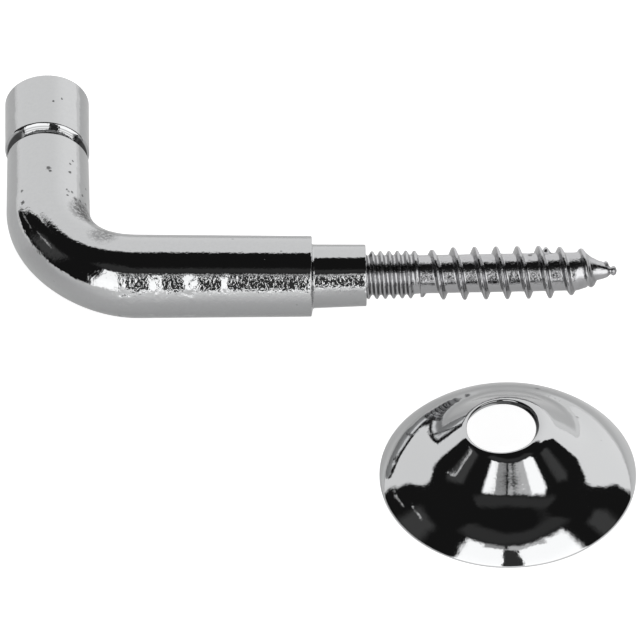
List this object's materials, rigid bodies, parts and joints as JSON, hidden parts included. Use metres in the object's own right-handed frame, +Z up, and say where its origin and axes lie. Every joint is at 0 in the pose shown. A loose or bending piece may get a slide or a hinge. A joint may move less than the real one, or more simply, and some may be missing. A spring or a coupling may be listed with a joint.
{
  "type": "curtain tieback hook",
  "caption": "L-shaped chrome tieback hook with a grooved tip, a double-ended wall screw and a bell-shaped cover rose, laid out before fitting.",
  "frame": {"origin": "middle of the step face on the arm, which the rose seats against when the hook is fitted to a wall", "axes": "+X along the shank towards the screw point, +Y up the leg towards its tip, +Z up from the surface that the pieces lie on"},
  "size_m": [0.0747, 0.0721, 0.0099],
  "materials": {
    "polished_chrome": "polished chrome plate over a cast bar and a pressed sheet",
    "bright_zinc": "bright zinc plate over rolled steel"
  },
  "bodies": {
    "root": {"hook_arm": "polished_chrome", "hanger_bolt": "bright_zinc", "rose": "polished_chrome"}
  },
  "joints": []
}
